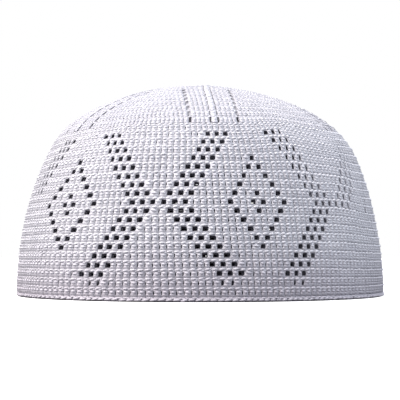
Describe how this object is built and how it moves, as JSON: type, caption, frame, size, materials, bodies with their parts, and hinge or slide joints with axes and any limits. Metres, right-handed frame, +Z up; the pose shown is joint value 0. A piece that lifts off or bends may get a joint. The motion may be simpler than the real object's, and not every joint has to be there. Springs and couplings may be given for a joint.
{
  "type": "crocheted prayer cap",
  "caption": "Brimless round cap crocheted in one thread: steep openwork band, low domed crown, open underneath for the head.",
  "frame": {"origin": "middle of the rim, on the surface that the cap rests on", "axes": "+Z up through the crown, -Y towards the front of the picture, +X to its right"},
  "size_m": [0.1839, 0.1839, 0.1052],
  "materials": {
    "white_cotton": "glossy mercerised cotton thread, crocheted"
  },
  "bodies": {
    "root": {"crocheted_cap": "white_cotton"}
  },
  "joints": []
}
